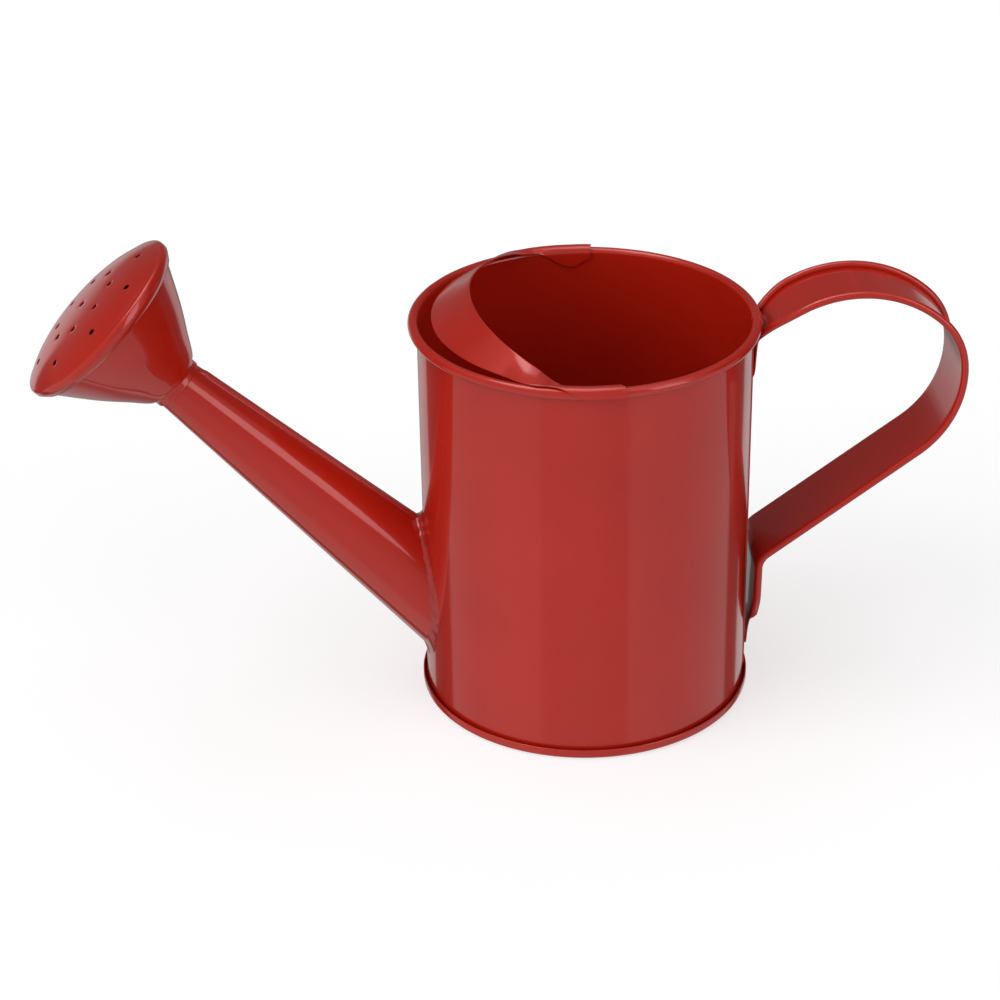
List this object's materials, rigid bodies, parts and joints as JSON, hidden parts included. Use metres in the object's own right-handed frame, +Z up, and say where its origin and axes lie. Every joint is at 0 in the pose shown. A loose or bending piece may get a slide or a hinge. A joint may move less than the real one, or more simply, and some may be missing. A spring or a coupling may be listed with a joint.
{
  "type": "watering can",
  "caption": "Small red enamelled sheet-metal watering can with a straight sloping spout, a domed perforated rose, a splash guard and a strap handle.",
  "frame": {"origin": "centre of the can's flat underside, on the can's axis", "axes": "+Z up along the can's axis, the handle towards +X, the spout towards -X, mirror plane at Y = 0"},
  "size_m": [0.2222, 0.0854, 0.1196],
  "materials": {
    "red_enamel": "glossy baked red enamel on thin steel sheet",
    "painted_solder": "uneven solder fillet under the same red enamel"
  },
  "bodies": {
    "can": {"can_wall": "red_enamel", "base_pan": "red_enamel", "base_solder": "painted_solder", "splash_guard": "red_enamel", "spout_tube": "red_enamel", "spout_solder": "painted_solder", "handle_strap": "red_enamel"},
    "rose": {"rose_funnel": "red_enamel", "rose_face": "red_enamel"}
  },
  "joints": [
    {"name": "rose_pull_off", "type": "slide", "parent": "can", "child": "rose", "axis": [-0.6884, 0, 0.7254], "range_m": [0, 0.03]}
  ]
}
